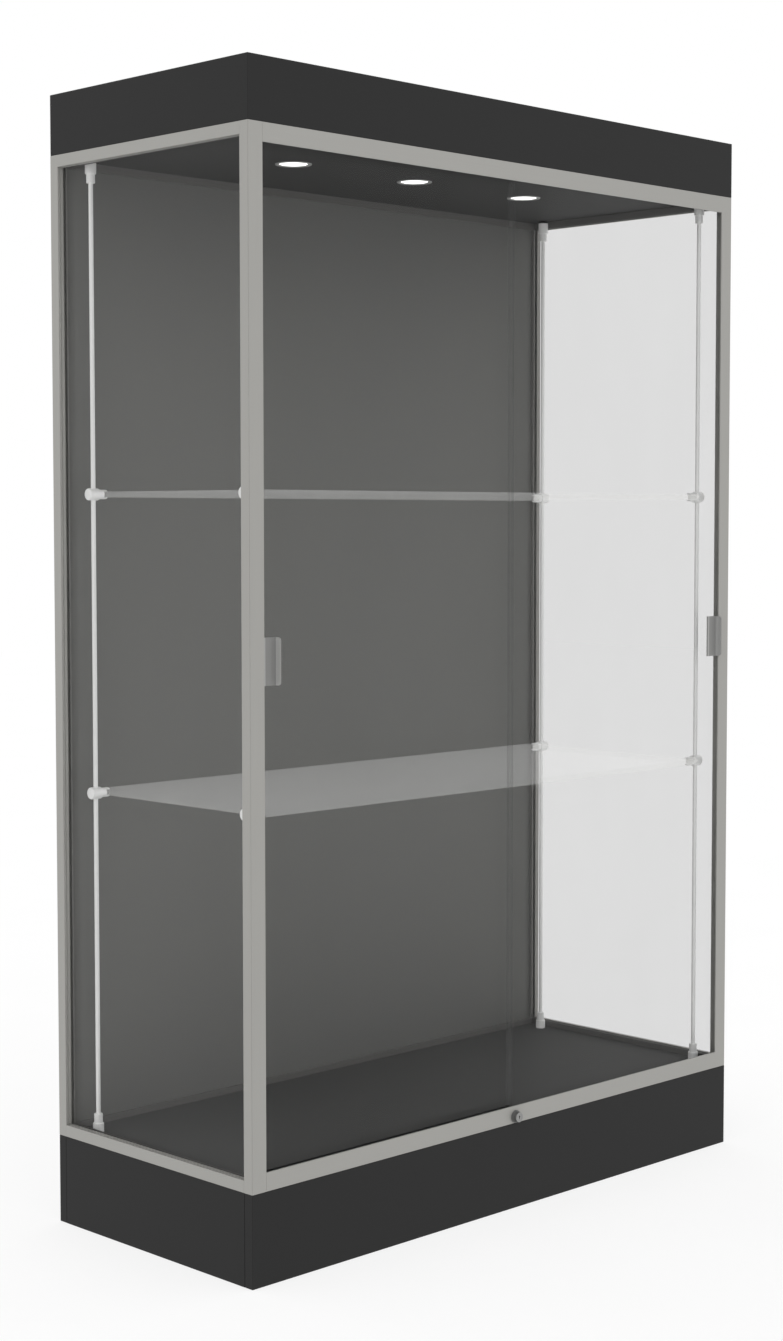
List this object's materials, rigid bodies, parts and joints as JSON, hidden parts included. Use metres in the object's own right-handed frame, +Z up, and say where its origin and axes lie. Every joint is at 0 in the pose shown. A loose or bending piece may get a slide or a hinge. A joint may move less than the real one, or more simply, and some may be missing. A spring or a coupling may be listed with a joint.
{
  "type": "tower display case",
  "caption": "Free-standing glazed tower display case with sliding glass doors, height-adjustable glass shelves on rods, laminate plinth and lit canopy.",
  "frame": {"origin": "on the floor, at the centre of the rectangular footprint of the case body; the centre stretcher's underside is there", "axes": "+Z up, +X to the right along the front, +Y towards the back; the doors, pulls and lock are on the -Y side"},
  "size_m": [1.2192, 0.5183, 1.9304],
  "materials": {
    "laminate": "dark charcoal laminate on board, satin",
    "deck": "dark charcoal laminate, satin",
    "ceiling": "dark charcoal laminate, matt",
    "board": "raw particle board",
    "frame": "satin anodised",
    "glass": "clear tempered float glass",
    "shelf_glass": "clear tempered plate glass, polished edges",
    "back_panel": "grey laminate, matt",
    "track": "matt black",
    "pull": "satin anodised",
    "lock": "polished",
    "rod": "satin",
    "clamp": "satin",
    "leveller": "zinc plated",
    "downlight": "white powder coat trim with a diffuser",
    "inlet": "matt"
  },
  "bodies": {
    "cabinet": {"plinth_front": "laminate", "plinth_back": "laminate", "plinth_left": "laminate", "plinth_right": "laminate", "canopy_shell": "laminate", "deck_panel": "deck", "ceiling_panel": "ceiling", "plinth_top": "board", "plinth_stretcher": "board", "plinth_runner_left": "board", "plinth_runner_right": "board", "post_front_left": "frame", "post_front_right": "frame", "post_back_left": "frame", "post_back_right": "frame", "rail_bottom_front": "frame", "rail_bottom_back": "frame", "rail_bottom_left": "frame", "rail_bottom_right": "frame", "rail_top_front": "frame", "rail_top_back": "frame", "rail_top_left": "frame", "rail_top_right": "frame", "side_glass_left": "glass", "side_glass_right": "glass", "back_panel": "back_panel", "glazing_bead_left": "frame", "glazing_bead_right": "frame", "door_track_lower": "track", "door_track_upper": "track", "lock_housing": "lock", "rod_front_left": "rod", "rod_front_right": "rod", "rod_back_left": "rod", "rod_back_right": "rod", "downlight_1": "downlight", "downlight_2": "downlight", "downlight_3": "downlight", "power_inlet": "inlet"},
    "door_left": {"door_glass_left": "glass", "door_shoe_left": "track", "door_pull_left": "pull"},
    "door_right": {"door_glass_right": "glass", "door_shoe_right": "track", "door_pull_right": "pull"},
    "lock": {"lock_plunger": "lock"},
    "shelf_lower": {"shelf_glass_lower": "shelf_glass", "clamp_lower_front_left": "clamp", "clamp_lower_front_right": "clamp", "clamp_lower_back_left": "clamp", "clamp_lower_back_right": "clamp"},
    "shelf_upper": {"shelf_glass_upper": "shelf_glass", "clamp_upper_front_left": "clamp", "clamp_upper_front_right": "clamp", "clamp_upper_back_left": "clamp", "clamp_upper_back_right": "clamp"},
    "foot_front_left": {"leveller_front_left": "leveller"},
    "foot_front_right": {"leveller_front_right": "leveller"},
    "foot_back_left": {"leveller_back_left": "leveller"},
    "foot_back_right": {"leveller_back_right": "leveller"}
  },
  "joints": [
    {"name": "door_left_slide", "type": "slide", "parent": "cabinet", "child": "door_left", "axis": [1, 0, 0], "range_m": [0, 0.53]},
    {"name": "door_right_slide", "type": "slide", "parent": "cabinet", "child": "door_right", "axis": [1, 0, 0], "range_m": [-0.53, 0]},
    {"name": "lock_push", "type": "slide", "parent": "cabinet", "child": "lock", "axis": [0, 1, 0], "range_m": [0, 0.005], "stiffness_N_per_m": 300, "springref_m": -0.004},
    {"name": "shelf_lower_height", "type": "slide", "parent": "cabinet", "child": "shelf_lower", "axis": [0, 0, 1], "range_m": [-0.5, 0.24]},
    {"name": "shelf_upper_height", "type": "slide", "parent": "cabinet", "child": "shelf_upper", "axis": [0, 0, 1], "range_m": [-0.24, 0.5]},
    {"name": "foot_front_left_screw", "type": "slide", "parent": "cabinet", "child": "foot_front_left", "axis": [0, 0, -1], "range_m": [0, 0.02]},
    {"name": "foot_front_right_screw", "type": "slide", "parent": "cabinet", "child": "foot_front_right", "axis": [0, 0, -1], "range_m": [0, 0.02]},
    {"name": "foot_back_left_screw", "type": "slide", "parent": "cabinet", "child": "foot_back_left", "axis": [0, 0, -1], "range_m": [0, 0.02]},
    {"name": "foot_back_right_screw", "type": "slide", "parent": "cabinet", "child": "foot_back_right", "axis": [0, 0, -1], "range_m": [0, 0.02]}
  ]
}
